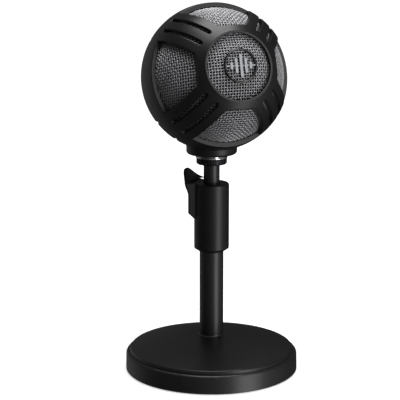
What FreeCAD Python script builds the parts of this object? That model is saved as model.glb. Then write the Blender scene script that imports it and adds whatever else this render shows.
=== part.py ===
import FreeCAD, Part
import math
import os

# Desktop microphone: a ball-shaped head with a woven grille, on a height-adjustable stand with a heavy
# round base. Millimetres. The origin is the centre of the base's underside, +Z is up and it faces -Y.

V = FreeCAD.Vector
os.makedirs("parts", exist_ok=True)

# ---- driving dimensions ------------------------------------------------------------------------------
FIT = 0.05                 # radial clearance of a running fit
GAP = 0.3                  # clearance between bodies that move past each other

# base
BASE_R = 65.0
BASE_TOP = 17.1            # height of the rim, where the domed top starts
DOME_EDGE_R = 60.3
DOME_TOP = 26.6            # the lower tube stands here
CAST_BOTTOM = 0.4
PAD_R = 63.4
PAD_T = 1.6
STUD_R = 5.0
STUD_TOP = 40.0
PLUG_TOP = 40.5
RIM_WALL = 9.0             # iron left around the hollow underneath
HUB_R = 20.0               # and around the stud
NUT_POCKET_R = 14.0
NUT_POCKET_TOP = 9.0
WASHER_T = 1.6
BASE_NUT_H = 5.0
BASE_NUT_R = 9.2           # half its width across corners

# stand
TUBE_R = 9.0               # lower tube
TUBE_WALL = 1.3
MAST_R = 6.0               # upper tube, which slides in the lower one
MAST_WALL = 1.2
MAST_FOOT = 50.0
MAST_TOP = 158.0
CLUTCH_R = 13.1
CLUTCH_BOTTOM = 91.6
CLUTCH_TOP = 143.6
CLUTCH_BORE_TOP = 118.0    # where the lower tube ends
CLUTCH_TURN = 137.0        # direction of the lever, in degrees from +X about +Z
LUG_R = 17.6
LUG_HALF_ANGLE = 60.0      # before its sides are cut
LUG_SIDE_X = 9.21          # where each side of the lug leaves the barrel
LUG_SIDE_Y = 9.31
LUG_SIDE_ANGLE = 30.0      # the sides spread outwards
LUG_FOOT = 120.7           # the lug slopes back to the barrel below this height
FLARE_START = 134.0        # the lug and the lever flare outwards above this height
SLOT_BOTTOM = 122.0        # the lever hangs in a slot in the lug
SLOT_HALF = 5.4
SLOT_WALL = 13.1
LEVER_FOOT = 124.4
FLAP_FOOT = CLUTCH_TOP + 0.45
PIN_X = 15.1               # lever pin, in the lever's own plane
PIN_Z = 131.0
PIN_R = 1.2
PIN_HALF = 6.6
SPRING_Z = 134.9
SPRING_POCKET_R = 1.9
SHOE_FACE = 9.8            # outer face of the shoe that grips the mast
GUIDE_BOTTOM = 133.0
GUIDE_TOP = 141.9
GUIDE_R = 8.5

# ball joint
BALL_Z = 170.3
BALL_R = 14.2
LINER_IN = BALL_R + GAP
LINER_OUT = 15.7
SOCKET_R = LINER_OUT + GAP
COLLAR_R = 18.9
COLLAR_BOTTOM = 165.6
COLLAR_TOP = 187.0
RING_NUT_BOTTOM = 183.1
SOCKET_BOSS_R = 22.6
COUPLING_NUT_R = 11.4
COUPLING_NUT_TOP = 162.7
FLANGE_R = 11.8
FLANGE_TOP = 164.3

# head, in its own frame: x to the right as seen from in front, y up its face, z the way it faces
HEAD = V(0, -6.0, 223.4)
HEAD_AIM = 16.0            # degrees above the horizontal
SHELL_R = 54.0
SHELL_WALL = 3.1
SHELL_IN = SHELL_R - SHELL_WALL
MESH_OUT = SHELL_IN - 0.3
MESH_T = 0.8                # the solid that stands for the woven wire
WEAVE_T = 1.7
BAND_FRONT = 11.3          # front plane of the solid band
HUB_HALF = 30.0            # the hub is a square with sides at this distance
ARM_HALF = 13.5            # the four diagonal arms have parallel sides
ARM_SLOT_AT = 5.1          # two slots along each arm, at this distance from its middle
ARM_SLOT_W = 2.9
ARM_SLOT_START = 29.8
FRONT_LIP_R = 25.4         # flat lip around the front opening
FRONT_OPENING_R = 24.0
REAR_OPENING_R = 22.7
REAR_SLOT_AT = 8.8
REAR_SLOT_W = 3.0
REAR_SLOT_FRONT = -6.0
REAR_SLOT_START = 36.0
EDGE_ROUND = 0.6
SHELL_SCREW_AT = 45.5
SHELL_SCREW_CLOCK = (90.0, 198.0, 342.0)
BOARD_Z = -36.0
BOARD_R = 32.0
BOARD_T = 1.6
POST_X = 22.5
POST_Y = 17.5
PORT_Y = -3.0              # height of the USB type-C socket on the rear
PORT_W = 8.34              # inside its shell
PORT_H = 2.56
PORT_SKIN = 0.3
PLATE_BACK = -46.0
PLATE_SCREW_AT = 20.6
BADGE_R = 12.5
BADGE_W = 1.6
BADGE_Z = 49.55
CAPSULE_R = 11.0
CUP_R = 14.0               # the bracket's cup that holds the capsule in its rubber

LIP_Z = math.sqrt(SHELL_R ** 2 - FRONT_LIP_R ** 2)
DIAGONALS = (45.0, 135.0, 225.0, 315.0)


# ---- helpers -----------------------------------------------------------------------------------------
def cylinder(r, z0, z1, x=0.0, y=0.0):
    return Part.makeCylinder(r, z1 - z0, V(x, y, z0))


def tube(r_in, r_out, z0, z1):
    return cylinder(r_out, z0, z1).cut(cylinder(r_in, z0 - 1, z1 + 1))


def block(x0, x1, y0, y1, z0, z1):
    return Part.makeBox(x1 - x0, y1 - y0, z1 - z0, V(x0, y0, z0))


def ball(r, centre=V(0, 0, 0)):
    return Part.makeSphere(r, centre, V(0, 0, 1), -90, 90, 360)


def turned(points, angle=360.0, start=0.0):
    """A solid turned about Z from an (r, z) outline. A three-number entry is the middle of an arc."""
    edges = []
    outline = list(points) + [points[0]]
    here = outline[0]
    middle = None
    for point in outline[1:]:
        if len(point) == 3:
            middle = point
            continue
        a, b = V(here[0], 0, here[1]), V(point[0], 0, point[1])
        if middle:
            edges.append(Part.Arc(a, V(middle[0], 0, middle[1]), b).toShape())
        else:
            edges.append(Part.LineSegment(a, b).toShape())
        here, middle = point, None
    face = Part.Face(Part.Wire(edges))
    solid = face.revolve(V(0, 0, 0), V(0, 0, 1), angle)
    return spun(solid, start)


def spun(shape, degrees):
    """The shape turned about the Z axis."""
    copy = shape.copy()
    copy.rotate(V(0, 0, 0), V(0, 0, 1), degrees)
    return copy


def extruded(points, z0, z1):
    wire = Part.makePolygon([V(x, y, z0) for x, y in points + points[:1]])
    return Part.Face(wire).extrude(V(0, 0, z1 - z0))


def at_clock(radius, degrees):
    return radius * math.cos(math.radians(degrees)), radius * math.sin(math.radians(degrees))


def rounded_bar(width, height, z0, z1):
    """A bar along Z with round ends to its cross-section."""
    bar = block(-width / 2, width / 2, -height / 2, height / 2, z0, z1)
    return bar.makeFillet(height / 2 - 0.05, [e for e in bar.Edges if e.BoundBox.ZLength > 1])


def joined(shapes):
    result = shapes[0]
    for shape in shapes[1:]:
        result = result.fuse(shape)
    return result.removeSplitter()


def coil(r, wire_r, pitch, length):
    """A helical spring standing on the XY plane."""
    path = Part.makeHelix(pitch, length, r)
    section = Part.Wire(Part.makeCircle(wire_r, V(r, 0, 0), V(0, 1, 0)))
    return Part.Wire(path).makePipeShell([section], True, True)


HEAD_PLACE = FreeCAD.Placement(HEAD, FreeCAD.Rotation(V(1, 0, 0), 90 - HEAD_AIM))


def in_head(shape):
    """Moves a shape from the head's own frame to its place on the stand."""
    copy = shape.copy()
    copy.Placement = HEAD_PLACE.multiply(copy.Placement)
    return copy


def out_of_head(shape):
    """Moves a shape from the stand's frame to the head's own frame."""
    copy = shape.copy()
    copy.Placement = HEAD_PLACE.inverse().multiply(copy.Placement)
    return copy


def skin_edges(shell, z0, z1):
    """The shell's edges that lie on its outer skin, with their middles between two heights."""
    found = []
    for edge in shell.Edges:
        middle = edge.valueAt((edge.FirstParameter + edge.LastParameter) / 2)
        points = [v.Point for v in edge.Vertexes] + [middle]
        on_skin = all(abs(p.Length - SHELL_R) < 0.02 for p in points)
        if on_skin and z0 < middle.z < z1 and edge.Length > 0.5:
            found.append(edge)
    return found


def save(name, shape):
    shape.exportStep("parts/" + name + ".step")
    print(name, "solids", len(shape.Solids), "volume", round(shape.Volume, 1), "valid", shape.isValid())


def screw(head_r, head_h, shank_r, length):
    """A pan-head screw with a cross recess, pointing down from z = 0."""
    shoulder = 0.45 * head_h
    head = turned([(0, 0), (head_r, 0), (head_r, shoulder), (head_r * 0.8, head_h * 0.85, 0),
                   (head_r * 0.45, head_h), (0, head_h)])
    recess = block(-head_r * 0.6, head_r * 0.6, -0.25, 0.25, shoulder, head_h + 1)
    return head.cut(recess).cut(spun(recess, 90)).fuse(cylinder(shank_r, -length, 0))


# ---- base --------------------------------------------------------------------------------------------
def dome_height(r):
    """Height of the base's domed top at a distance from its middle."""
    return DOME_TOP - (DOME_TOP - BASE_TOP) * (r / DOME_EDGE_R) ** 2


def build_base():
    foot_r = TUBE_R + 1.1
    middle_r = (DOME_EDGE_R + foot_r) / 2
    step_r = BASE_R - 3.0
    casting = turned([
        (0, CAST_BOTTOM), (BASE_R - 0.6, CAST_BOTTOM), (BASE_R - 0.18, CAST_BOTTOM + 0.18, 0),
        (BASE_R, CAST_BOTTOM + 0.6), (BASE_R - 0.2, 11.9), (BASE_R - 0.75, 13.5, 0), (BASE_R - 2.3, 14.2),
        (step_r, 14.3), (step_r, 15.1), (step_r - 0.2, 15.6, 0), (step_r - 0.6, 16.3),
        (step_r - 1.0, 16.9, 0), (DOME_EDGE_R, BASE_TOP),
        (middle_r, dome_height(middle_r), 0), (foot_r, dome_height(foot_r)),
        (TUBE_R + 0.35, DOME_TOP + 0.15, 0), (TUBE_R + FIT, DOME_TOP + 0.8),
        (TUBE_R + FIT, DOME_TOP), (0, DOME_TOP)])
    casting = casting.cut(cylinder(PAD_R + 0.1, 0, PAD_T + FIT))
    hollow_r = BASE_R - RIM_WALL
    casting = casting.cut(turned([(HUB_R, 0), (hollow_r, 0), (hollow_r, 8.0), (HUB_R, 15.0)]))
    casting = casting.cut(cylinder(NUT_POCKET_R, 0, NUT_POCKET_TOP))
    casting = casting.cut(cylinder(STUD_R + 0.1, 0, DOME_TOP + 1))
    save("base_casting", casting)
    save("foot_pad", turned([(0, 0), (PAD_R - 0.4, 0), (PAD_R, 0.4), (PAD_R, PAD_T), (0, PAD_T)]))
    nut_top = NUT_POCKET_TOP - WASHER_T
    save("base_washer", tube(STUD_R + 0.1, 11.5, nut_top, NUT_POCKET_TOP))
    corners = [at_clock(BASE_NUT_R, 60 * k) for k in range(6)]
    nut = extruded(corners, nut_top - BASE_NUT_H, nut_top).cut(cylinder(STUD_R, 0, 20))
    save("base_nut", nut)
    save("base_stud", cylinder(STUD_R, 2.2, STUD_TOP))
    save("tube_plug", tube(STUD_R, TUBE_R - TUBE_WALL, DOME_TOP, PLUG_TOP))
    save("lower_tube", tube(TUBE_R - TUBE_WALL, TUBE_R, DOME_TOP, CLUTCH_BORE_TOP))


# ---- height clutch, built with its lever on the +x side ----------------------------------------------
def across(r, half, x, z):
    """A round bar across the lever, from one side of it to the other."""
    return Part.makeCylinder(r, 2 * half, V(x, -half, z), V(0, 1, 0))


def slab(outline, y_half):
    """A slab from an (x, z) outline, reaching y_half to each side."""
    wire = Part.makePolygon([V(x, -y_half, z) for x, z in outline + outline[:1]])
    return Part.Face(wire).extrude(V(0, 2 * y_half, 0))


def flare(r):
    """The outline of the flare that the lug and the lever share, from its start to the clutch's top."""
    return [(r + 0.45, FLARE_START + 2.2, 0), (r + 1.55, FLARE_START + 5.2),
            (r + 2.25, FLARE_START + 7.2, 0), (r + 2.7, CLUTCH_TOP)]


def build_clutch_housing():
    chamfer = 2.5
    barrel = turned([
        (0, CLUTCH_BOTTOM), (9.4, CLUTCH_BOTTOM), (CLUTCH_R - 0.45, CLUTCH_BOTTOM + chamfer - 0.4),
        (CLUTCH_R - 0.1, CLUTCH_BOTTOM + chamfer, 0), (CLUTCH_R, CLUTCH_BOTTOM + chamfer + 0.6),
        (CLUTCH_R, CLUTCH_TOP - 1.6), (CLUTCH_R - 0.47, CLUTCH_TOP - 0.47, 0),
        (CLUTCH_R - 1.6, CLUTCH_TOP), (0, CLUTCH_TOP)])
    slope = LUG_R - CLUTCH_R
    lug = turned([
        (CLUTCH_R - 2.0, LUG_FOOT - slope), (CLUTCH_R, LUG_FOOT - slope), (LUG_R, LUG_FOOT),
        (LUG_R, FLARE_START)] + flare(LUG_R) + [(CLUTCH_R - 2.0, CLUTCH_TOP)],
        2 * LUG_HALF_ANGLE, -LUG_HALF_ANGLE)
    spread = math.tan(math.radians(LUG_SIDE_ANGLE))
    near, far = 5.0, 25.0
    near_y = LUG_SIDE_Y + (near - LUG_SIDE_X) * spread
    far_y = LUG_SIDE_Y + (far - LUG_SIDE_X) * spread
    lug = lug.common(extruded([(near, -near_y), (far, -far_y), (far, far_y), (near, near_y)], 100, 160))
    corners = [e for e in lug.Edges if e.BoundBox.ZLength > 1
               and all(math.hypot(v.X, v.Y) > LUG_R - 0.01 for v in e.Vertexes)]
    lug = lug.makeFillet(0.8, corners)
    housing = barrel.fuse(lug)
    housing = housing.cut(cylinder(TUBE_R + FIT, CLUTCH_BOTTOM - 1, CLUTCH_BORE_TOP))
    housing = housing.cut(cylinder(MAST_R + GAP, CLUTCH_BORE_TOP - 1, CLUTCH_TOP + 1))
    housing = housing.cut(cylinder(GUIDE_R, SLOT_BOTTOM, GUIDE_TOP + 0.1))
    housing = housing.cut(block(SLOT_WALL, 24, -SLOT_HALF, SLOT_HALF, SLOT_BOTTOM, CLUTCH_TOP + 1))
    shoe_window_top = 132.0
    housing = housing.cut(block(5, SLOT_WALL + 1, -SLOT_HALF, SLOT_HALF, SLOT_BOTTOM, shoe_window_top))
    housing = housing.cut(across(PIN_R, PIN_HALF, PIN_X, PIN_Z)).removeSplitter()
    save("clutch_housing", spun(housing, CLUTCH_TURN))
    save("guide_bush", tube(MAST_R + FIT, GUIDE_R, GUIDE_BOTTOM, GUIDE_TOP))


def build_clutch_lever():
    """A flap that carries the lug's flare on upwards, on a tongue that hangs on the pin."""
    skin = LUG_R - 0.1
    rim, top = skin + 3.6, 153.4
    lever = turned(
        [(12.0, LEVER_FOOT), (skin, LEVER_FOOT), (skin, FLARE_START)] + flare(skin)
        + [(skin + 3.2, 148.0), (rim, 151.8), (rim - 0.1, top - 0.5, 0), (rim - 0.6, top - 0.2),
           (rim - 1.2, top - 0.5, 0), (rim - 1.5, top - 1.2), (skin + 1.3, 147.8), (skin + 1.0, 146.2),
           (skin - 0.6, FLAP_FOOT), (12.0, FLAP_FOOT)], 2 * LUG_HALF_ANGLE, -LUG_HALF_ANGLE)
    tongue_half, flap_half, tip_half = SLOT_HALF - GAP, 12.8, 3.0
    half_outline = [(tongue_half, LEVER_FOOT), (tongue_half, FLAP_FOOT), (flap_half, FLAP_FOOT),
                    (flap_half, FLAP_FOOT + 0.85), (2 * tip_half, top - 2.4), (tip_half, top - 0.5),
                    (tip_half - 1.5, top)]
    outline = half_outline + [(-y, z) for y, z in reversed(half_outline)]
    face = Part.Face(Part.makePolygon([V(5, y, z) for y, z in outline + outline[:1]]))
    lever = lever.common(face.extrude(V(22, 0, 0)))
    tongue_back = SLOT_WALL + GAP
    inside = [(5, 120), (tongue_back, 120), (tongue_back, PIN_Z), (tongue_back + 1.7, FLAP_FOOT),
              (5, FLAP_FOOT)]
    nose = block(SHOE_FACE + 0.4, tongue_back + 0.6, -3.6, 3.6, LEVER_FOOT, 128.6)
    lever = lever.cut(slab(inside, 20)).fuse(nose)
    lever = lever.cut(across(PIN_R + FIT + 0.03, 12, PIN_X, PIN_Z))
    lever = lever.cut(Part.makeCylinder(SPRING_POCKET_R, 6.3, V(10, 0, SPRING_Z), V(1, 0, 0)))
    save("clutch_lever", spun(lever.removeSplitter(), CLUTCH_TURN))
    save("lever_pin", spun(across(PIN_R, PIN_HALF, PIN_X, PIN_Z), CLUTCH_TURN))
    wire_r = 0.22
    spring = coil(SPRING_POCKET_R - 0.7, wire_r, 0.75, 2.0)
    spring.rotate(V(0, 0, 0), V(0, 1, 0), 90)
    spring.translate(V(SLOT_WALL + wire_r + 0.03, 0, SPRING_Z))
    save("lever_spring", spun(spring, CLUTCH_TURN))
    shoe = block(4.0, SHOE_FACE, -3.8, 3.8, 123.0, 130.4).cut(cylinder(MAST_R + FIT, 120, 135))
    save("grip_shoe", spun(shoe, CLUTCH_TURN))


# ---- mast and ball -----------------------------------------------------------------------------------
def build_mast():
    bore = MAST_R - MAST_WALL
    save("upper_tube", tube(bore, MAST_R, MAST_FOOT, MAST_TOP))
    stop_r, stop_h, spigot = TUBE_R - TUBE_WALL - 0.08, 5.0, 9.0
    stop = cylinder(stop_r, MAST_FOOT - stop_h, MAST_FOOT)
    stop = stop.fuse(cylinder(bore, MAST_FOOT, MAST_FOOT + spigot))
    save("mast_stop", stop)
    stud_r, stud_top = 3.9, 174.0
    stud = cylinder(bore, MAST_TOP - 2 * spigot, MAST_TOP).fuse(cylinder(stud_r, MAST_TOP, stud_top))
    save("mast_stud", stud.removeSplitter())

    flutes = 30
    nut_r, nut_bottom, nut_top = COUPLING_NUT_R, MAST_TOP + 0.1, COUPLING_NUT_TOP
    nut = turned([(stud_r + FIT, nut_bottom), (nut_r - 0.7, nut_bottom), (nut_r, nut_bottom + 0.7),
                  (nut_r, nut_top - 0.5), (nut_r - 0.5, nut_top), (stud_r + FIT, nut_top)])
    for k in range(flutes):
        flute_x, flute_y = at_clock(nut_r + 0.1, 360.0 * k / flutes)
        nut = nut.cut(cylinder(0.45, nut_bottom - 1, nut_top + 1, flute_x, flute_y))
    save("coupling_nut", nut)

    flange_bottom = nut_top + 0.1
    waist_z = FLANGE_TOP + 1.2
    waist_r = math.sqrt(BALL_R ** 2 - (BALL_Z - waist_z) ** 2)
    crown_up = 9.5
    crown_r = math.sqrt(BALL_R ** 2 - crown_up ** 2)
    swivel = turned([
        (stud_r, flange_bottom), (FLANGE_R - 0.1, flange_bottom), (FLANGE_R, flange_bottom + 0.1),
        (FLANGE_R, flange_bottom + 0.5), (FLANGE_R - 1.1, FLANGE_TOP), (FLANGE_R - 1.0, FLANGE_TOP + 0.4),
        (waist_r, waist_z), (BALL_R, BALL_Z, 0),
        (crown_r, BALL_Z + crown_up), (stud_r, BALL_Z + crown_up)])
    save("swivel_ball", swivel)


# ---- ball socket -------------------------------------------------------------------------------------
def build_socket():
    centre = V(0, 0, BALL_Z)
    liner = ball(LINER_OUT, centre).cut(ball(LINER_IN, centre))
    liner = liner.common(cylinder(30, BALL_Z - 3.6, BALL_Z + 1.0))
    save("ball_liner", liner)

    seat_bottom = BALL_Z + 6.4
    seat = cylinder(SOCKET_R - 0.2, seat_bottom, BALL_Z + 10.6)
    seat = seat.cut(ball(LINER_IN, centre)).cut(cylinder(7.0, 100, 200))
    save("ball_seat", seat)
    spring = turned([(8.8, BALL_Z + 13.2), (8.6, BALL_Z + 12.7), (SOCKET_R - 0.6, BALL_Z + 10.7),
                     (SOCKET_R - 0.3, BALL_Z + 11.2)])
    save("seat_spring", spring)
    cap = tube(4.0, SOCKET_R - 0.1, BALL_Z + 13.4, BALL_Z + 16.4)
    for side in (-1, 1):
        cap = cap.cut(cylinder(1.3, 150, 200, 10.0 * side, 0))
    save("socket_cap", cap)

    collar = turned([
        (0, COLLAR_BOTTOM), (COLLAR_R - 2.6, COLLAR_BOTTOM), (COLLAR_R - 0.7, COLLAR_BOTTOM + 0.75, 0),
        (COLLAR_R, COLLAR_BOTTOM + 2.6), (COLLAR_R, COLLAR_TOP), (0, COLLAR_TOP)])
    collar = collar.cut(ball(SOCKET_R, centre)).cut(cylinder(SOCKET_R, BALL_Z, COLLAR_TOP + 1))
    save("neck_collar", collar)
    ring_nut = tube(COLLAR_R + FIT, SOCKET_BOSS_R, RING_NUT_BOTTOM, RING_NUT_BOTTOM + 3.6)
    for k in range(4):
        notch = block(SOCKET_BOSS_R - 1.2, SOCKET_BOSS_R + 1, -1.5, 1.5, 180, 190)
        ring_nut = ring_nut.cut(spun(notch, 90 * k + 45))
    save("collar_nut", ring_nut)


# ---- head shells, in the head's own frame ------------------------------------------------------------
def window(z_near, z_far):
    """The prism that opens one window, on the +x side, with its two hub corners rounded."""
    reach = 62.0
    half = HUB_HALF - ARM_HALF * math.sqrt(2)
    far = reach - ARM_HALF * math.sqrt(2)
    outline = [(HUB_HALF, -half), (reach, -far), (reach, far), (HUB_HALF, half)]
    prism = extruded(outline, z_near, z_far)
    upright = [e for e in prism.Edges if e.BoundBox.ZLength > 1]
    corners = [e for e in upright if abs(e.BoundBox.XMin - HUB_HALF) < 0.01]
    return prism.makeFillet(2.2, corners)


def slot_cut(along, lateral, width, z0, z1):
    """A slot with a rounded inner end that runs outwards on the +x side, from the distance along."""
    body = block(along + width / 2, 64, lateral - width / 2, lateral + width / 2, z0, z1)
    return body.fuse(cylinder(width / 2, z0, z1, along + width / 2, lateral))


def hollow_ball(r_out, r_in):
    return ball(r_out).cut(ball(r_in))


def build_front_shell():
    shell = hollow_ball(SHELL_R, SHELL_IN).common(block(-60, 60, -60, 60, 0.05, LIP_Z))
    shell = shell.cut(cylinder(FRONT_OPENING_R, 20, 60))
    for k in range(4):
        shell = shell.cut(spun(window(BAND_FRONT, 62), 90 * k))
    for angle in DIAGONALS:
        for side in (-1, 1):
            cut = slot_cut(ARM_SLOT_START, side * ARM_SLOT_AT, ARM_SLOT_W, BAND_FRONT, 62)
            shell = shell.cut(spun(cut, angle))
    shell = shell.makeFillet(EDGE_ROUND, skin_edges(shell, BAND_FRONT - 0.1, SHELL_R))
    for clock in SHELL_SCREW_CLOCK:
        x, y = at_clock(SHELL_SCREW_AT, clock)
        boss = cylinder(3.6, 2.2, 8.6, SHELL_SCREW_AT, 0)
        boss = boss.fuse(block(SHELL_SCREW_AT, 52, -1.5, 1.5, 2.2, 8.6))
        shell = shell.fuse(spun(boss.common(ball(SHELL_R - 1)), clock))
        shell = shell.cut(cylinder(1.15, 0, 8.0, x, y))
    save("front_shell", in_head(shell.removeSplitter()))


def build_rear_shell():
    shell = hollow_ball(SHELL_R, SHELL_IN).common(block(-60, 60, -60, 60, -LIP_Z, -0.05))
    seat = cylinder(29, -44.0, -42.0).common(ball(SHELL_R - 1)).cut(cylinder(18.5, -50, -40))
    shell = shell.cut(cylinder(REAR_OPENING_R, -60, -44.0)).fuse(seat)
    for angle in DIAGONALS:
        for side in (-1, 1):
            cut = slot_cut(REAR_SLOT_START, side * REAR_SLOT_AT, REAR_SLOT_W, -62, REAR_SLOT_FRONT)
            shell = shell.cut(spun(cut, angle))
    shell = shell.makeFillet(EDGE_ROUND, skin_edges(shell, -SHELL_R, REAR_SLOT_FRONT + 0.1))
    for x in (-POST_X, POST_X):
        for y in (-POST_Y, POST_Y):
            post = cylinder(3.0, -46, BOARD_Z - 0.05, x, y).common(ball(SHELL_R - 1))
            shell = shell.fuse(post).cut(cylinder(1.0, BOARD_Z - 5, BOARD_Z + 1, x, y))
    for clock in SHELL_SCREW_CLOCK:
        x, y = at_clock(SHELL_SCREW_AT, clock)
        shell = shell.fuse(cylinder(3.6, -40, -0.05, x, y).common(ball(SHELL_R - 0.2)))
        shell = shell.cut(cylinder(2.4, -60, -7.0, x, y)).cut(cylinder(1.4, -8, 1, x, y))
    boss = cylinder(SOCKET_BOSS_R, 160, RING_NUT_BOTTOM).common(ball(SHELL_R - 1, HEAD))
    boss = out_of_head(boss).common(block(-60, 60, -60, 60, -60, -0.05))
    shell = shell.fuse(boss).cut(out_of_head(cylinder(COLLAR_R + 0.12, 150, 200)))
    for x in (-PLATE_SCREW_AT, PLATE_SCREW_AT):
        shell = shell.cut(cylinder(0.8, -50, -40, x, 0))
    save("rear_shell", in_head(shell.removeSplitter()))


# ---- grille, foam and badge --------------------------------------------------------------------------
def build_grille():
    dome = hollow_ball(MESH_OUT, MESH_OUT - MESH_T).common(block(-60, 60, -60, 60, 9.5, 60))
    save("front_mesh", in_head(dome))
    strips = []
    for angle in DIAGONALS:
        strip = block(30, 60, -11.8, 11.8, -35.5, -3.0)
        strip = spun(strip, angle).common(hollow_ball(MESH_OUT, MESH_OUT - MESH_T))
        strips.append(strip.cut(out_of_head(cylinder(SOCKET_BOSS_R + GAP, 150, 184))))
    save("rear_mesh", in_head(Part.makeCompound(strips)))
    foam_out = MESH_OUT - WEAVE_T - 0.2
    foam = hollow_ball(foam_out, foam_out - 4.5).common(block(-60, 60, -60, 60, 10.0, 60))
    save("front_foam", in_head(foam))

    crest = BADGE_Z + 1.5
    ring = turned([(BADGE_R - BADGE_W, BADGE_Z), (BADGE_R, BADGE_Z), (BADGE_R, BADGE_Z + 0.7),
                   (BADGE_R - BADGE_W / 2, crest, 0), (BADGE_R - BADGE_W, BADGE_Z + 0.7)])
    save("badge_ring", in_head(ring))
    # a plain row of sound-level bars, tied together by one thin bar
    bars = []
    bar_w, pitch, back = 1.9, 3.6, BADGE_Z + 1.15
    for column, height in ((-2, 5.0), (-1, 10.5), (0, 16.0), (1, 10.5), (2, 5.0)):
        x = column * pitch
        bar = block(x - bar_w / 2, x + bar_w / 2, -height / 2, height / 2, back, back + 1.0)
        upright = [e for e in bar.Edges if e.BoundBox.ZLength > 0.9]
        bars.append(bar.makeFillet(0.45 * bar_w, upright))
    inner = BADGE_R - BADGE_W - 0.02
    tie = block(-inner, inner, -0.5, 0.5, back, back + 0.3).common(cylinder(inner, 50, 52))
    bars.append(tie)
    save("badge_mark", in_head(joined(bars)))


# ---- electronics -------------------------------------------------------------------------------------
def build_capsule():
    cup_out = CUP_R + 1.6
    arm_z, arm_t = 0.1, 2.0
    bracket = cylinder(19.0, arm_z, arm_z + arm_t).fuse(cylinder(cup_out, 2.0, 22.0))
    for clock in SHELL_SCREW_CLOCK:
        arm = block(10, SHELL_SCREW_AT, -2.6, 2.6, arm_z, arm_z + arm_t)
        arm = arm.fuse(cylinder(3.4, arm_z, arm_z + arm_t, SHELL_SCREW_AT, 0))
        bracket = bracket.fuse(spun(arm, clock))
    bracket = bracket.cut(cylinder(CUP_R, 6.0, 30.0)).cut(cylinder(5.0, -1, 10))
    for clock in SHELL_SCREW_CLOCK:
        bracket = bracket.cut(cylinder(1.4, -1, 5, *at_clock(SHELL_SCREW_AT, clock)))
    save("capsule_bracket", in_head(bracket.removeSplitter()))
    grommet = tube(CAPSULE_R, CUP_R, 10.0, 24.0).fuse(tube(CAPSULE_R, cup_out, 22.0, 24.0))
    save("capsule_grommet", in_head(grommet.removeSplitter()))
    capsule = cylinder(CAPSULE_R, 13.0, 27.0).cut(tube(8.0, 9.2, 26.2, 28.0))
    for radius, count in ((0.0, 1), (3.0, 6), (6.0, 12)):
        for k in range(count):
            x, y = at_clock(radius, 360.0 * k / count)
            capsule = capsule.cut(cylinder(0.6, 25.5, 28.0, x, y))
    save("capsule", in_head(capsule))


def build_board():
    top = BOARD_Z + BOARD_T
    board = cylinder(BOARD_R, BOARD_Z, top).cut(block(-60, 60, -60, -22.0, -60, 0))
    screws = []
    for x in (-POST_X, POST_X):
        for y in (-POST_Y, POST_Y):
            board = board.cut(cylinder(1.3, -50, -20, x, y))
            fastener = screw(2.4, 1.5, 1.0, 5.0)
            fastener.translate(V(x, y, top))
            screws.append(fastener)
    save("main_board", in_head(board))
    save("board_screws", in_head(Part.makeCompound(screws)))
    chips = [block(-4, 4, 2, 10, top, top + 1.2), block(8, 14, -3, 3, top, top + 1.5),
             block(-10, -6, -16, -12, top, top + 1.0), block(13, 17, 8, 12, top, top + 2.0)]
    cans = [cylinder(2.5, top, top + 6.5, -14, 6), cylinder(2.5, top, top + 6.5, -14, -2),
            cylinder(4.0, top, top + 8.0, 6, -13)]
    plug_socket = block(-18, -6, 14, 18, top, top + 5.0)
    save("board_parts", in_head(Part.makeCompound(chips + cans + [plug_socket])))


def build_port():
    """The USB type-C socket on the back of the board, and the plate around it."""
    socket_front, socket_back = BOARD_Z - FIT, PLATE_BACK - 0.1
    socket = rounded_bar(PORT_W + 2 * PORT_SKIN, PORT_H + 2 * PORT_SKIN + 0.1, socket_back, socket_front)
    socket = socket.cut(rounded_bar(PORT_W, PORT_H, socket_back - 1, socket_front - 2.0))
    socket = socket.fuse(block(-3.35, 3.35, -0.35, 0.35, socket_back + 0.8, socket_front - 1.9))
    socket.translate(V(0, PORT_Y, 0))
    save("usb_socket", in_head(socket.removeSplitter()))

    lamp_y, lamp_r, head_seat = 8.0, 1.5, PLATE_BACK + 0.8
    plate = cylinder(REAR_OPENING_R - 0.1, PLATE_BACK, -44.05)
    hole = rounded_bar(PORT_W + 1.06, PORT_H + 1.14, -50, -40)
    hole.translate(V(0, PORT_Y, 0))
    plate = plate.cut(hole).cut(cylinder(lamp_r, -50, -40, 0, lamp_y))
    screws = []
    for x in (-PLATE_SCREW_AT, PLATE_SCREW_AT):
        plate = plate.cut(cylinder(1.0, -50, -40, x, 0)).cut(cylinder(1.7, -50, head_seat, x, 0))
        fastener = screw(1.6, 0.9, 0.8, 3.2)
        fastener.rotate(V(0, 0, 0), V(1, 0, 0), 180)
        fastener.translate(V(x, 0, head_seat))
        screws.append(fastener)
    save("port_plate", in_head(plate))
    save("port_screws", in_head(Part.makeCompound(screws)))
    lamp = cylinder(lamp_r - 0.02, PLATE_BACK - 0.2, -43.0, 0, lamp_y)
    save("status_led", in_head(lamp.fuse(cylinder(2.2, -43.9, -42.9, 0, lamp_y))))


def build_shell_screws():
    screws = []
    for clock in SHELL_SCREW_CLOCK:
        x, y = at_clock(SHELL_SCREW_AT, clock)
        fastener = screw(2.2, 1.6, 1.15, 14.5)
        fastener.rotate(V(0, 0, 0), V(1, 0, 0), 180)
        fastener.translate(V(x, y, -7.0))
        screws.append(fastener)
    save("shell_screws", in_head(Part.makeCompound(screws)))


build_base()
build_clutch_housing()
build_clutch_lever()
build_mast()
build_socket()
build_front_shell()
build_rear_shell()
build_grille()
build_capsule()
build_board()
build_port()
build_shell_screws()
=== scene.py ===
"""Finishes, woven grille, foam lining and studio for a desktop microphone on a round-based stand."""

import math

import bmesh
import bpy
from bpy.props import FloatProperty, FloatVectorProperty, IntProperty, PointerProperty
from mathutils import Matrix, Vector


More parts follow.
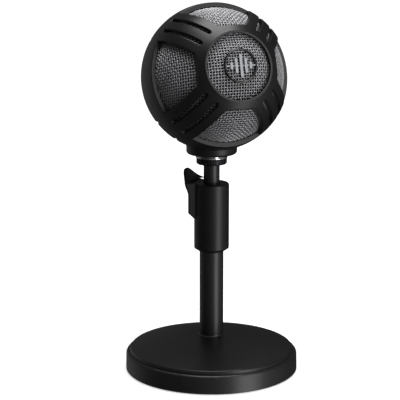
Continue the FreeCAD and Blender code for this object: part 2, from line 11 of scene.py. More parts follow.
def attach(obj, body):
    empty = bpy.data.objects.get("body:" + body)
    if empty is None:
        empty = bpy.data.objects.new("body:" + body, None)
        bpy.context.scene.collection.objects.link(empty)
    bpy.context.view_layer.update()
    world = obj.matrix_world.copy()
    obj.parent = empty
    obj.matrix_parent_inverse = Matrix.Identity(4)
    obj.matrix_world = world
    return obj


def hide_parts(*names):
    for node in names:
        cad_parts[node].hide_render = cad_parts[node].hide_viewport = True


bl_info = {
    "name": "Desktop microphone",
    "version": (1, 0, 0),
    "blender": (4, 5, 0),
    "location": "View3D > Sidebar > Microphone",
    "description": "Dresses the microphone in its finishes, woven grille and foam, and sets up a studio",
    "category": "Object",
}

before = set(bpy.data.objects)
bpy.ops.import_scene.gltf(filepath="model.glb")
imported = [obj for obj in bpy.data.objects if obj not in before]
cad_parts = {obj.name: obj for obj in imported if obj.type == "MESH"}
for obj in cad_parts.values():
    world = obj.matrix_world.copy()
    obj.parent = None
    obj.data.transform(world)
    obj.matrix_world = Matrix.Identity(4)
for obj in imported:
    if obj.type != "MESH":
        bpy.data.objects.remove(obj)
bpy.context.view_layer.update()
MM = 0.001

# Surface patterns: how far the drift of colour and gloss reaches, and the part of the noise it follows.
DRIFT_MM = 24.0
DRIFT_LOW, DRIFT_HIGH = 0.3, 0.7

# Woven wire: how far a wire swings out of the cloth's middle surface at a crossing, in wire radii; how far
# the strips behind the rear slots reach, from the head's middle plane; and the fewest crossings in one wire.
WIRE_SWING = 1.8
STRIP_NEAREST, STRIP_FARTHEST = 3.2 * MM, 35.3 * MM
SHORTEST_WIRE = 3

# Foam: the angle from which an edge is drawn sharp.
SHARP_ANGLE = math.radians(50)

# Studio, in metres: the floor disc, the two softboxes, and the room that the surfaces reflect.
FLOOR_RADIUS, FLOOR_SEGMENTS, FLOOR_GAP = 8.0, 96, 0.0002
FLOOR_NEAR, FLOOR_FAR = 0.1, 0.7
FLOOR_NEAR_GLOW, FLOOR_FAR_GLOW = 0.55, 1.0
KEY_AZIMUTH, KEY_DISTANCE, KEY_HEIGHT = math.radians(26), 0.9, 0.1
KEY_WIDTH, KEY_TALL = 0.46, 1.8
TOP_X, TOP_Y, TOP_Z = 0.03, -0.02, 1.0
TOP_WIDTH, TOP_LENGTH = 0.55, 0.6
PALE_SIDE = math.radians(30)
WALL_BEHIND, WALL_IN_FRONT = "#8c8c8c", "#c0c0c0"
WALL_SHADES = ((0.1, "#5a5a5a"), (0.2, "#343434"), (0.5, "#303030"), (0.65, "#505050"), (0.82, "#7c7c7c"),
               (0.93, "#a8a8a8"))
CEILING_SHADE = "#6c6c6c"
WALL_TOP, CEILING_START = 0.2, 0.7

# Camera: the sensor in millimetres, and the nearest and farthest things seen in metres.
SENSOR_WIDTH = 36.0
CLIP_NEAR, CLIP_FAR = 0.05, 50.0


# ---- colours, nodes and materials ---------------------------------------------------------------

def linear(hex_colour):
    """Turns an sRGB hex colour such as "#1a1a1b" into linear red, green, blue and alpha."""
    channels = [int(hex_colour[k:k + 2], 16) / 255 for k in (1, 3, 5)]
    return tuple(c / 12.92 if c <= 0.04045 else ((c + 0.055) / 1.055) ** 2.4 for c in channels) + (1.0,)


def per(size_mm):
    """The texture scale at which one feature of a pattern on Object coordinates is this many mm."""
    return 1000.0 / size_mm


def add_node(tree, kind, inputs=None, **settings):
    """Adds a node, with its settings, and with a value or a link for each of its named inputs."""
    node = tree.nodes.new(kind)
    for name, value in settings.items():
        setattr(node, name, value)
    for socket, value in (inputs or {}).items():
        if isinstance(value, bpy.types.NodeSocket):
            tree.links.new(value, node.inputs[socket])
        else:
            node.inputs[socket].default_value = value
    return node


def new_material(name):
    """An empty node material, with its Object coordinates."""
    material = bpy.data.materials.new(name)
    material.use_nodes = True
    material.node_tree.nodes.clear()
    tree = material.node_tree
    return material, tree, add_node(tree, "ShaderNodeTexCoord").outputs["Object"]


def grained(name, colour, lighter, roughness, spread, grain_mm, depth_mm, **shader):
    """A finish with a fine raised grain, and a drift of colour and gloss over some centimetres."""
    material, tree, place = new_material(name)
    drift = add_node(tree, "ShaderNodeTexNoise", {"Vector": place, "Scale": per(DRIFT_MM), "Detail": 3.0})
    tint = add_node(tree, "ShaderNodeMix", {
        "Factor": drift.outputs["Fac"], "A": colour, "B": lighter}, data_type="RGBA")
    gloss = add_node(tree, "ShaderNodeMapRange", {
        "Value": drift.outputs["Fac"], "From Min": DRIFT_LOW, "From Max": DRIFT_HIGH,
        "To Min": roughness - spread, "To Max": roughness + spread})
    grain = add_node(tree, "ShaderNodeTexNoise", {
        "Vector": place, "Scale": per(grain_mm), "Detail": 2.0, "Roughness": 0.6})
    relief = add_node(tree, "ShaderNodeBump", {
        "Height": grain.outputs["Fac"], "Strength": 1.0, "Distance": depth_mm * MM})
    inputs = {"Base Color": tint.outputs["Result"], "Roughness": gloss.outputs["Result"],
              "Normal": relief.outputs["Normal"]}
    inputs.update(shader)
    surface = add_node(tree, "ShaderNodeBsdfPrincipled", inputs)
    add_node(tree, "ShaderNodeOutputMaterial", {"Surface": surface.outputs["BSDF"]})
    return material


def powder_coat(name, finish):
    # Polyester powder coat baked on iron or steel: an even satin black skin with a faint orange peel.
    return grained(name, finish.powder_black, finish.powder_black_light, 0.34, 0.02, 1.6, 0.012, IOR=1.5)


def satin_abs(name, finish):
    # Injection-moulded ABS from a spark-eroded mould: satin black. The real part's grain of about 0.1 mm is
    # drawn at 0.7 mm, as fine as it can be and still be seen. The index of refraction is lower than the
    # plastic's own 1.54, to darken the broad reflections on the mouldings.
    return grained(name, finish.abs_black, finish.abs_black_light, 0.36, 0.025, 0.7, 0.008, IOR=1.42)


def moulded_nylon(name, finish):
    # Glass-filled nylon: duller than the ABS, a little mottled where the fibres come to the surface.
    return grained(name, finish.nylon_black, finish.nylon_black_light, 0.5, 0.05, 0.9, 0.02, IOR=1.53)


def soft_rubber(name, finish):
    # Moulded TPE rubber: matt, slightly dusty charcoal with a fine pebble.
    return grained(name, finish.rubber_black, finish.rubber_black_light, 0.78, 0.06, 1.2, 0.05, IOR=1.48)


def zinc_plate(name, finish):
    # Zinc-plated steel: a pale, slightly blue metal, cloudy from the plating bath.
    return grained(name, finish.zinc, finish.zinc_dark, 0.34, 0.08, 0.5, 0.004, Metallic=1.0)


def bright_chrome(name, finish):
    # Chromium plate on a polished ball: a mirror, with very faint polishing ripple.
    return grained(name, finish.chrome, finish.chrome, 0.07, 0.015, 3.0, 0.0006, Metallic=1.0)


def black_zinc(name, finish):
    # Blackened steel screws and nuts: dark, half-bright metal.
    return grained(name, finish.black_steel, finish.black_steel_light, 0.38, 0.05, 0.4, 0.004, Metallic=1.0)


def brushed_silver(name, finish):
    # Brushed aluminium: silver, with fine parallel scratches along the badge's width, 0.12 mm apart.
    material, tree, place = new_material(name)
    stretched = add_node(tree, "ShaderNodeMapping", {"Vector": place, "Scale": (0.02, 1.0, 1.0)})
    lines = add_node(tree, "ShaderNodeTexNoise", {
        "Vector": stretched.outputs["Vector"], "Scale": per(0.12), "Detail": 2.0})
    tint = add_node(tree, "ShaderNodeMix", {
        "Factor": lines.outputs["Fac"], "A": finish.silver, "B": finish.silver_dark}, data_type="RGBA")
    relief = add_node(tree, "ShaderNodeBump", {"Height": lines.outputs["Fac"], "Distance": 0.002 * MM})
    surface = add_node(tree, "ShaderNodeBsdfPrincipled", {
        "Base Color": tint.outputs["Result"], "Metallic": 1.0, "Roughness": 0.45,
        "Normal": relief.outputs["Normal"]})
    add_node(tree, "ShaderNodeOutputMaterial", {"Surface": surface.outputs["BSDF"]})
    return material


def gloss_black(name, finish):
    # Polished black ABS: deep black with clear, sharp reflections.
    return grained(name, finish.abs_black, finish.abs_black, 0.14, 0.02, 4.0, 0.002, IOR=1.5)


def drawn_wire(name, finish):
    # Drawn steel wire, nickel-plated: grey metal, duller in the crossings where the plating is thin, and
    # marked along its length by the die, every 0.6 mm or so.
    material, tree, place = new_material(name)
    cloud = add_node(tree, "ShaderNodeTexNoise", {"Vector": place, "Scale": per(9.0), "Detail": 2.0})
    marks = add_node(tree, "ShaderNodeTexNoise", {"Vector": place, "Scale": per(0.6), "Detail": 1.0})
    tint = add_node(tree, "ShaderNodeMix", {
        "Factor": cloud.outputs["Fac"], "A": finish.wire, "B": finish.wire_dark}, data_type="RGBA")
    gloss = add_node(tree, "ShaderNodeMapRange", {
        "Value": marks.outputs["Fac"], "To Min": 0.55, "To Max": 0.7})
    surface = add_node(tree, "ShaderNodeBsdfPrincipled", {
        "Base Color": tint.outputs["Result"], "Metallic": 1.0, "Roughness": gloss.outputs["Result"]})
    add_node(tree, "ShaderNodeOutputMaterial", {"Surface": surface.outputs["BSDF"]})
    return material


def open_cell_foam(name, finish):
    # Reticulated polyurethane foam: a dead matt black sponge with open cells about 0.8 mm across. The middle
    # of each cell is drawn darker than the struts round it: painted shade in the open cells, over the foam's
    # own black.
    material, tree, place = new_material(name)
    cells = add_node(
        tree, "ShaderNodeTexVoronoi", {"Vector": place, "Scale": per(0.8)}, feature="DISTANCE_TO_EDGE")
    # Painted shade: the cell middles take the darker foam colour and the struts the lighter one.
    tint = add_node(tree, "ShaderNodeMix", {
        "Factor": cells.outputs["Distance"], "A": finish.foam_light, "B": finish.foam}, data_type="RGBA")
    relief = add_node(tree, "ShaderNodeBump", {
        "Height": cells.outputs["Distance"], "Strength": 1.0, "Distance": 0.4 * MM}, invert=True)
    surface = add_node(tree, "ShaderNodeBsdfPrincipled", {
        "Base Color": tint.outputs["Result"], "Roughness": 0.95, "IOR": 1.35,
        "Sheen Weight": 0.05, "Normal": relief.outputs["Normal"]})
    add_node(tree, "ShaderNodeOutputMaterial", {"Surface": surface.outputs["BSDF"]})
    return material


def glass_fibre_board(name, finish):
    # Glass-fibre laminate under dark solder mask: glossy, with the 0.5 mm weave just showing through.
    material, tree, place = new_material(name)
    weave = add_node(tree, "ShaderNodeTexChecker", {
        "Vector": place, "Color1": finish.board, "Color2": finish.board_light, "Scale": per(0.5)})
    surface = add_node(tree, "ShaderNodeBsdfPrincipled", {
        "Base Color": weave.outputs["Color"], "Roughness": 0.3, "IOR": 1.5})
    add_node(tree, "ShaderNodeOutputMaterial", {"Surface": surface.outputs["BSDF"]})
    return material


def lamp_lens(name, finish):
    # Diffusing polycarbonate over an unlit lamp: milky and half clear.
    clear = {"Transmission Weight": 0.4}
    return grained(name, finish.lens, finish.lens, 0.3, 0.02, 0.6, 0.004, IOR=1.58, **clear)


def wear(material, nodes):
    """Puts one material on carried-over pieces."""
    for name in nodes:
        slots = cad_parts[name].data.materials
        slots.clear()
        slots.append(material)


# ---- the head's own frame -----------------------------------------------------------------------

def head_frame(sizes):
    """Turns the head's own axes, with Z along the axis it listens on, into the whole microphone's."""
    tilt = Matrix.Rotation(math.pi / 2 - sizes.head_aim, 4, "X")
    return Matrix.Translation(Vector(sizes.head_centre)) @ tilt


def keep_piece(name, mesh, material):
    """Links a finished mesh as a piece that rides on the head."""
    piece = bpy.data.objects.new(name, mesh)
    bpy.context.scene.collection.objects.link(piece)
    mesh.materials.clear()
    mesh.materials.append(material)
    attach(piece, "head")
    return piece


# ---- woven wire ---------------------------------------------------------------------------------

def cloth_over_ball(radius, pitch, lowest):
    """Where the wires of a square-woven cloth cross once it is pressed over a ball.

    The middle wire of each set follows a great circle, and every cell keeps four equal sides, so each new
    crossing is the last one mirrored in the plane through its two neighbours and the ball's centre.
    """
    step = pitch / radius
    count = int(math.pi / step)
    quarter = {}
    for k in range(count):
        quarter[k, 0] = Vector((math.sin(k * step), 0, math.cos(k * step)))
        quarter[0, k] = Vector((0, math.sin(k * step), math.cos(k * step)))
        if quarter[k, 0].z < lowest:
            break
    for i in range(count):
        for j in range(count):
            near = [quarter.get(at) for at in ((i, j), (i + 1, j), (i, j + 1))]
            if None in near:
                continue
            mirror = near[1].cross(near[2]).normalized()
            corner = near[0] - 2 * near[0].dot(mirror) * mirror
            if corner.z > lowest:
                quarter[i + 1, j + 1] = corner
    cloth = {}
    for (i, j), point in quarter.items():
        for x in (-1, 1):
            for y in (-1, 1):
                cloth[i * x, j * y] = Vector((point.x * x, point.y * y, point.z)) * radius
    return cloth


def woven_wire(name, cloth, keep, place, weave):
    """The mesh of both sets of wires, each going over and under the other set by turns."""
    curve = bpy.data.curves.new(name, "CURVE")
    curve.dimensions = "3D"
    curve.resolution_u = 2
    curve.bevel_depth = weave.wire_radius
    curve.bevel_resolution = 1
    curve.use_fill_caps = True
    reach = max(i for i, j in cloth)
    span = range(-reach, reach + 1)
    for set_of_wires in (0, 1):
        for line in span:
            run = []
            for k in list(span) + [None]:
                at = (k, line) if set_of_wires == 0 else (line, k)
                point = cloth.get(at) if k is not None else None
                if point is not None and keep(point):
                    over = 1 if (k + line + set_of_wires) % 2 else -1
                    run.append(point * (1 + WIRE_SWING * over * weave.wire_radius / point.length))
                    continue
                if len(run) >= SHORTEST_WIRE:
                    spline = curve.splines.new("NURBS")
                    spline.points.add(len(run) - 1)
                    for control, position in zip(spline.points, run):
                        control.co = (place @ position).to_4d()
                    spline.order_u = 3
                    spline.use_endpoint_u = True
                run = []
    holder = bpy.data.objects.new(name + "_lines", curve)
    bpy.context.scene.collection.objects.link(holder)
    bpy.context.view_layer.update()
    mesh = bpy.data.meshes.new_from_object(holder)
    mesh.name = name
    bpy.data.objects.remove(holder)
    mesh.shade_smooth()
    return mesh


# ---- what a user may change ---------------------------------------------------------------------

def colour_choice(name, hex_colour, description):
    return FloatVectorProperty(name=name, description=description, subtype="COLOR", size=4, min=0, max=1,
                               default=linear(hex_colour))


class MicrophoneFinishes(bpy.types.PropertyGroup):
    """Colours of the microphone's finishes."""

    powder_black: colour_choice("Powder coat", "#101011", "Base and stand tubes")
    powder_black_light: colour_choice("Powder coat, light", "#151516", "Lighter drift in the powder coat")
    abs_black: colour_choice("ABS", "#09090a", "Head, clutch and lever mouldings")
    abs_black_light: colour_choice("ABS, light", "#0d0d0e", "Lighter drift in the mouldings")
    nylon_black: colour_choice("Nylon", "#131313", "Hidden mouldings")
    nylon_black_light: colour_choice("Nylon, light", "#1e1e1e", "Lighter drift in the nylon")
    rubber_black: colour_choice("Rubber", "#161616", "Foot pad, grip shoe and grommet")
    rubber_black_light: colour_choice("Rubber, light", "#222221", "Dusty drift in the rubber")
    zinc: colour_choice("Zinc plate", "#b9bcc0", "Hidden hardware")
    zinc_dark: colour_choice("Zinc plate, dark", "#9a9ca0", "Darker clouds in the zinc plate")
    chrome: colour_choice("Chrome", "#dcdcde", "Swivel ball and its flange")
    black_steel: colour_choice("Black steel", "#202022", "Ring nut and screws")
    black_steel_light: colour_choice("Black steel, light", "#3a3a3d", "Rubbed parts of the black steel")
    silver: colour_choice("Badge silver", "#a2a3a6", "Raised bars of the badge")
    silver_dark: colour_choice("Badge silver, dark", "#7b7c80", "Brush lines of the badge")
    wire: colour_choice("Grille wire", "#c6c6c8", "Woven wire")
    wire_dark: colour_choice("Grille wire, dark", "#a8a8ab", "Thinly plated wire")
    # The darker foam colour is painted shade inside the open cells; the lighter one is the struts, the
    # foam's own black.
    foam: colour_choice("Foam", "#050505", "Foam cells")
    foam_light: colour_choice("Foam, light", "#0e0e0e", "Foam struts")
    board: colour_choice("Circuit board", "#0f2a1c", "Solder mask")
    board_light: colour_choice("Circuit board, light", "#143524", "Glass weave under the mask")
    lens: colour_choice("Lamp lens", "#d9dbd6", "Status lamp")


class MicrophoneSizes(bpy.types.PropertyGroup):
    """Sizes of the head's woven wire and foam."""

    head_centre: FloatVectorProperty(
        name="Head centre", description="Middle of the ball-shaped head", subtype="XYZ", unit="LENGTH",
        default=(0.0, -0.006, 0.2234))
    head_aim: FloatProperty(
        name="Aim", description="How far above level the head looks", subtype="ANGLE",
        default=math.radians(16))
    pitch: FloatProperty(
        name="Wire pitch", description="Distance from wire to wire", unit="LENGTH", default=2.05 * MM)
    wire_radius: FloatProperty(
        name="Wire radius", description="Half the wire's thickness", unit="LENGTH", default=0.37 * MM)
    cloth_radius: FloatProperty(
        name="Cloth radius", description="Radius of the woven cloth's middle surface", unit="LENGTH",
        default=49.76 * MM)
    cloth_edge: FloatProperty(
        name="Cloth edge", description="Height of the front cloth's rim above the head's middle plane",
        unit="LENGTH", default=9.6 * MM)
    strip_half: FloatProperty(
        name="Rear strip half-width", description="Half the width of each strip behind the rear slots",
        unit="LENGTH", default=11.8 * MM)
    foam_radius: FloatProperty(
        name="Foam radius", description="Outside of the foam lining", unit="LENGTH", default=48.7 * MM)
    foam_thickness: FloatProperty(
        name="Foam thickness", description="Thickness of the foam lining", unit="LENGTH", default=4.5 * MM)
    foam_edge: FloatProperty(
        name="Foam edge", description="Height of the foam's rim above the head's middle plane",
        unit="LENGTH", default=10.0 * MM)
    foam_facets: IntProperty(
        name="Foam facets", description="Segments round the foam lining", min=24, max=128, default=96)


class MicrophoneStudio(bpy.types.PropertyGroup):
    """Camera and lights."""

    azimuth: FloatProperty(
        name="Azimuth", description="Camera direction round the microphone", subtype="ANGLE",
        default=math.radians(-21.3))
    distance: FloatProperty(
        name="Distance", description="Level distance from the stand to the camera", unit="LENGTH",
        default=1.0932)
    height: FloatProperty(name="Height", description="Camera height", unit="LENGTH", default=0.3696)
    pitch: FloatProperty(
        name="Pitch", description="How far the camera looks down", subtype="ANGLE",
        default=math.radians(12.35))
    sideways: FloatProperty(
        name="Sideways", description="How far the camera stands to its left", unit="LENGTH",
        default=0.00865)
    lens: FloatProperty(
        name="Lens", description="Focal length on a 36 mm sensor", unit="CAMERA", default=135.0)
    key_power: FloatProperty(
        name="Key light", description="Power of the tall softbox on the right", unit="POWER", default=6.5)
    top_power: FloatProperty(
        name="Top light", description="Power of the softbox overhead", unit="POWER", default=8.0)


# ---- operators ----------------------------------------------------------------------------------

class MICROPHONE_OT_base(bpy.types.Operator):
    """Finish the cast base, its rubber pad and the fixings under it"""

    bl_idname = "microphone.base"
    bl_label = "Base"

    def execute(self, context):
        finish = context.scene.microphone_finishes
        wear(powder_coat("Powder_coat_on_iron", finish), ["base_casting"])
        wear(soft_rubber("Moulded_rubber_pad", finish), ["foot_pad"])
        wear(zinc_plate("Zinc_plated_fixings", finish), ["base_washer", "base_nut", "base_stud"])
        return {"FINISHED"}


class MICROPHONE_OT_stand(bpy.types.Operator):
    """Finish the two tubes, the height clutch and its lever"""

    bl_idname = "microphone.stand"
    bl_label = "Stand and clutch"

    def execute(self, context):
        finish = context.scene.microphone_finishes
        wear(powder_coat("Powder_coat_on_tube", finish), ["lower_tube", "upper_tube"])
        wear(satin_abs("Satin_ABS_clutch", finish), ["clutch_housing", "clutch_lever"])
        wear(moulded_nylon("Glass_filled_nylon_guides", finish), ["tube_plug", "guide_bush", "mast_stop"])
        wear(soft_rubber("Grip_shoe_rubber", finish), ["grip_shoe"])
        wear(zinc_plate("Zinc_plated_lever_parts", finish), ["lever_pin", "lever_spring", "mast_stud"])
        return {"FINISHED"}


class MICROPHONE_OT_swivel(bpy.types.Operator):
    """Finish the ring nut, the chromed swivel ball and the socket that holds it"""

    bl_idname = "microphone.swivel"
    bl_label = "Swivel"

    def execute(self, context):
        finish = context.scene.microphone_finishes
        wear(bright_chrome("Chromed_ball", finish), ["swivel_ball"])
        wear(black_zinc("Blackened_ring_nut", finish), ["coupling_nut"])
        wear(moulded_nylon("Nylon_socket", finish), ["ball_liner", "ball_seat", "socket_cap", "collar_nut"])
        wear(zinc_plate("Zinc_plated_seat_spring", finish), ["seat_spring"])
        return {"FINISHED"}


class MICROPHONE_OT_shells(bpy.types.Operator):
    """Finish the head's two shells, the collar, the port plate and the screws"""

    bl_idname = "microphone.shells"
    bl_label = "Head shells"

    def execute(self, context):
        finish = context.scene.microphone_finishes
        wear(satin_abs("Satin_ABS_head", finish), ["front_shell", "rear_shell", "neck_collar"])
        wear(satin_abs("Satin_ABS_port_plate", finish), ["port_plate"])
        wear(black_zinc("Blackened_screws", finish), ["shell_screws", "port_screws"])
        wear(lamp_lens("Milky_lamp_lens", finish), ["status_led"])
        return {"FINISHED"}


class MICROPHONE_OT_badge(bpy.types.Operator):
    """Finish the round badge"""

    bl_idname = "microphone.badge"
    bl_label = "Badge"

    def execute(self, context):
        finish = context.scene.microphone_finishes
        wear(gloss_black("Polished_ABS_ring", finish), ["badge_ring"])
        wear(brushed_silver("Brushed_badge_metal", finish), ["badge_mark"])
        return {"FINISHED"}


class MICROPHONE_OT_electronics(bpy.types.Operator):
    """Finish the capsule, the circuit board and the socket"""

    bl_idname = "microphone.electronics"
    bl_label = "Electronics"

    def execute(self, context):
        finish = context.scene.microphone_finishes
        wear(zinc_plate("Nickel_silver_can", finish), ["capsule", "usb_socket", "board_screws"])
        wear(moulded_nylon("Nylon_bracket", finish), ["capsule_bracket", "board_parts"])
        wear(soft_rubber("Rubber_grommet", finish), ["capsule_grommet"])
        wear(glass_fibre_board("Glass_fibre_board", finish), ["main_board"])
        return {"FINISHED"}


class MICROPHONE_OT_front_grille(bpy.types.Operator):
    """Weave the wire dome behind the front windows"""

    bl_idname = "microphone.front_grille"
    bl_label = "Front grille"

    def execute(self, context):
        sizes = context.scene.microphone_sizes
        cloth = cloth_over_ball(sizes.cloth_radius, sizes.pitch, sizes.cloth_edge / sizes.cloth_radius)
        mesh = woven_wire("woven_front_grille", cloth, lambda point: True, head_frame(sizes), sizes)
        material = drawn_wire("Nickel_plated_wire", context.scene.microphone_finishes)
        piece = keep_piece("woven_front_grille", mesh, material)
        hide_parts("front_mesh")
        return {"FINISHED"}


class MICROPHONE_OT_rear_grille(bpy.types.Operator):
    """Weave the four strips of wire behind the rear slots"""

    bl_idname = "microphone.rear_grille"
    bl_label = "Rear grille"

    def execute(self, context):
        sizes = context.scene.microphone_sizes
        cloth = cloth_over_ball(sizes.cloth_radius, sizes.pitch, STRIP_NEAREST / sizes.cloth_radius)

        def on_strip(point):
            beside = min(abs(point.x), abs(point.y))
            return beside < sizes.strip_half and STRIP_NEAREST < point.z < STRIP_FARTHEST

        turn = Matrix.Rotation(math.pi, 4, "X") @ Matrix.Rotation(math.pi / 4, 4, "Z")
        mesh = woven_wire("woven_rear_grille", cloth, on_strip, head_frame(sizes) @ turn, sizes)
        material = drawn_wire("Nickel_plated_strip_wire", context.scene.microphone_finishes)
        piece = keep_piece("woven_rear_grille", mesh, material)
        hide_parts("rear_mesh")
        return {"FINISHED"}


class MICROPHONE_OT_foam(bpy.types.Operator):
    """Line the front grille with a dome of open-cell foam"""

    bl_idname = "microphone.foam"
    bl_label = "Foam lining"

    def execute(self, context):
        sizes = context.scene.microphone_sizes
        facets = sizes.foam_facets
        shape = bmesh.new()
        for radius in (sizes.foam_radius, sizes.foam_radius - sizes.foam_thickness):
            bmesh.ops.create_uvsphere(shape, u_segments=facets, v_segments=facets // 2, radius=radius)
        bmesh.ops.bisect_plane(
            shape, geom=shape.verts[:] + shape.edges[:] + shape.faces[:], plane_co=(0, 0, sizes.foam_edge),
            plane_no=(0, 0, -1), clear_outer=True)
        rims = [edge for edge in shape.edges if edge.is_boundary]
        bmesh.ops.bridge_loops(shape, edges=rims)
        bmesh.ops.recalc_face_normals(shape, faces=shape.faces)
        bmesh.ops.transform(shape, matrix=head_frame(sizes), verts=shape.verts)
        mesh = bpy.data.meshes.new("foam_lining")
        shape.to_mesh(mesh)
        shape.free()
        mesh.shade_smooth()
        mesh.set_sharp_from_angle(angle=SHARP_ANGLE)
        material = open_cell_foam("Open_cell_foam", context.scene.microphone_finishes)
        piece = keep_piece("foam_lining", mesh, material)
        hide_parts("front_foam")
        return {"FINISHED"}


class MICROPHONE_OT_studio(bpy.types.Operator):
    """Add the pale floor, the softboxes and the camera"""

    bl_idname = "microphone.studio"
    bl_label = "Studio"

    def softbox(self, name, place, aim, width, height, power):
        lamp = bpy.data.lights.new(name, "AREA")
        lamp.shape = "RECTANGLE"
        lamp.size, lamp.size_y, lamp.energy = width, height, power
        light = bpy.data.objects.new(name, lamp)
        bpy.context.scene.collection.objects.link(light)
        light.location = place
        light.rotation_euler = (Vector(aim) - Vector(place)).to_track_quat("-Z", "Y").to_euler()

    def floor(self):
        shape = bmesh.new()
        bmesh.ops.create_circle(shape, cap_ends=True, segments=FLOOR_SEGMENTS, radius=FLOOR_RADIUS)
        bmesh.ops.translate(shape, vec=(0, 0, -FLOOR_GAP), verts=shape.verts)
        mesh = bpy.data.meshes.new("studio_floor")
        shape.to_mesh(mesh)
        shape.free()
        floor = bpy.data.objects.new("studio_floor", mesh)
        bpy.context.scene.collection.objects.link(floor)
        floor.visible_glossy = False
        floor.visible_shadow = False
        # Painted studio floor: near white, matt, washing out to pure white away from the microphone.
        material, tree, place = new_material("Painted_floor")
        away = add_node(tree, "ShaderNodeVectorMath", {0: place}, operation="LENGTH")
        wash = add_node(tree, "ShaderNodeMapRange", {
            "Value": away.outputs["Value"], "From Min": FLOOR_NEAR, "From Max": FLOOR_FAR,
            "To Min": FLOOR_NEAR_GLOW, "To Max": FLOOR_FAR_GLOW})
        surface = add_node(tree, "ShaderNodeBsdfPrincipled", {
            "Base Color": linear("#f0f0f0"), "Roughness": 0.9, "Emission Color": linear("#ffffff"),
            "Emission Strength": wash.outputs["Result"]})
        add_node(tree, "ShaderNodeOutputMaterial", {"Surface": surface.outputs["BSDF"]})
        mesh.materials.append(material)

    def surroundings(self, scene):
        """A room for the reflections, palest to the front right; the camera sees a white sweep."""
        world = bpy.data.worlds.new("Studio")
        scene.world = world
        world.use_nodes = True
        tree = world.node_tree
        tree.nodes.clear()
        ray = add_node(tree, "ShaderNodeLightPath")
        toward = add_node(tree, "ShaderNodeTexCoord").outputs["Generated"]
        across = add_node(tree, "ShaderNodeVectorMath", {
            0: toward, 1: (math.sin(PALE_SIDE), -math.cos(PALE_SIDE), 0)}, operation="DOT_PRODUCT")
        side = add_node(tree, "ShaderNodeMapRange", {"Value": across.outputs["Value"], "From Min": -1.0})
        walls = add_node(tree, "ShaderNodeValToRGB", {"Fac": side.outputs["Result"]})
        stops = walls.color_ramp.elements
        stops[0].position, stops[0].color = 0.0, linear(WALL_BEHIND)
        stops[1].position, stops[1].color = 1.0, linear(WALL_IN_FRONT)
        for position, grey in WALL_SHADES:
            stops.new(position).color = linear(grey)
        height = add_node(tree, "ShaderNodeSeparateXYZ", {"Vector": toward})
        rise = add_node(tree, "ShaderNodeMapRange", {
            "Value": height.outputs["Z"], "From Min": WALL_TOP, "From Max": CEILING_START})
        shade = add_node(tree, "ShaderNodeMix", {
            "Factor": rise.outputs["Result"], "A": walls.outputs["Color"], "B": linear(CEILING_SHADE)},
            data_type="RGBA")
        room = add_node(tree, "ShaderNodeBackground", {"Color": shade.outputs["Result"], "Strength": 1.0})
        sweep = add_node(tree, "ShaderNodeBackground", {"Color": linear("#ffffff"), "Strength": 1.0})
        seen = add_node(tree, "ShaderNodeMixShader", {
            "Fac": ray.outputs["Is Camera Ray"], 1: room.outputs["Background"],
            2: sweep.outputs["Background"]})
        add_node(tree, "ShaderNodeOutputWorld", {"Surface": seen.outputs["Shader"]})

    def camera(self, scene, studio):
        data = bpy.data.cameras.new("camera")
        data.lens, data.sensor_width = studio.lens, SENSOR_WIDTH
        data.clip_start, data.clip_end = CLIP_NEAR, CLIP_FAR
        camera = bpy.data.objects.new("camera", data)
        scene.collection.objects.link(camera)
        azimuth, pitch = studio.azimuth, studio.pitch
        right = Vector((math.cos(azimuth), math.sin(azimuth), 0))
        level = math.cos(pitch)
        ahead = Vector((-math.sin(azimuth) * level, math.cos(azimuth) * level, -math.sin(pitch)))
        turn = Matrix((right, right.cross(ahead), -ahead)).transposed()
        place = Vector((
            math.sin(azimuth) * studio.distance, -math.cos(azimuth) * studio.distance, studio.height))
        camera.matrix_world = Matrix.Translation(place - right * studio.sideways) @ turn.to_4x4()
        scene.camera = camera

    def execute(self, context):
        scene = context.scene
        studio = scene.microphone_studio
        self.floor()
        self.surroundings(scene)
        key_x, key_y = KEY_DISTANCE * math.sin(KEY_AZIMUTH), -KEY_DISTANCE * math.cos(KEY_AZIMUTH)
        self.softbox("key_softbox", (key_x, key_y, KEY_HEIGHT), (0, 0, KEY_HEIGHT),
                     KEY_WIDTH, KEY_TALL, studio.key_power)
        self.softbox("top_softbox", (TOP_X, TOP_Y, TOP_Z), (TOP_X, TOP_Y, 0),
                     TOP_WIDTH, TOP_LENGTH, studio.top_power)
        self.camera(scene, studio)
        scene.view_settings.view_transform = "Standard"
        return {"FINISHED"}


class MICROPHONE_PT_panel(bpy.types.Panel):
    """Shows a button for each building step, and the microphone's settings"""

    bl_label = "Microphone"
    bl_space_type = "VIEW_3D"
    bl_region_type = "UI"
    bl_category = "Microphone"

    def draw(self, context):
        for step in STEPS:
            self.layout.operator(step.bl_idname)
        for group in ("microphone_sizes", "microphone_studio", "microphone_finishes"):
            settings = getattr(context.scene, group)
            for name in settings.bl_rna.properties.keys():
                if name not in ("rna_type", "name"):
                    self.layout.prop(settings, name)


STEPS = (MICROPHONE_OT_base, MICROPHONE_OT_stand, MICROPHONE_OT_swivel, MICROPHONE_OT_shells,
         MICROPHONE_OT_badge, MICROPHONE_OT_electronics, MICROPHONE_OT_front_grille,
         MICROPHONE_OT_rear_grille, MICROPHONE_OT_foam, MICROPHONE_OT_studio)
GROUPS = {"microphone_finishes": MicrophoneFinishes, "microphone_sizes": MicrophoneSizes,
          "microphone_studio": MicrophoneStudio}


def register():
    for name, group in GROUPS.items():
        bpy.utils.register_class(group)
        setattr(bpy.types.Scene, name, PointerProperty(type=group))
    for item in STEPS + (MICROPHONE_PT_panel,):
        bpy.utils.register_class(item)


def unregister():
    for item in (MICROPHONE_PT_panel,) + STEPS[::-1]:
        bpy.utils.unregister_class(item)
    for name, group in GROUPS.items():
        delattr(bpy.types.Scene, name)
        bpy.utils.unregister_class(group)


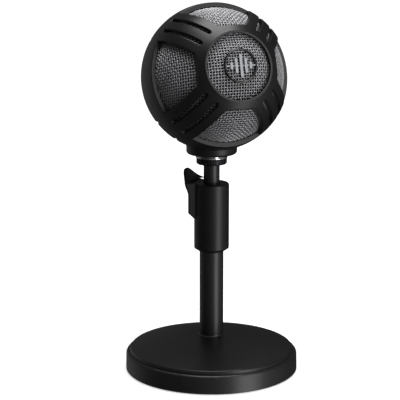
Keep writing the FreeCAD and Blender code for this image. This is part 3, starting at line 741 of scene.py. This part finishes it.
def main():
    """Builds the whole scene."""
    register()
    bpy.ops.microphone.base()
    bpy.ops.microphone.stand()
    bpy.ops.microphone.swivel()
    bpy.ops.microphone.shells()
    bpy.ops.microphone.badge()
    bpy.ops.microphone.electronics()
    bpy.ops.microphone.front_grille()
    bpy.ops.microphone.rear_grille()
    bpy.ops.microphone.foam()
    bpy.ops.microphone.studio()


if __name__ == "__main__":
    main()
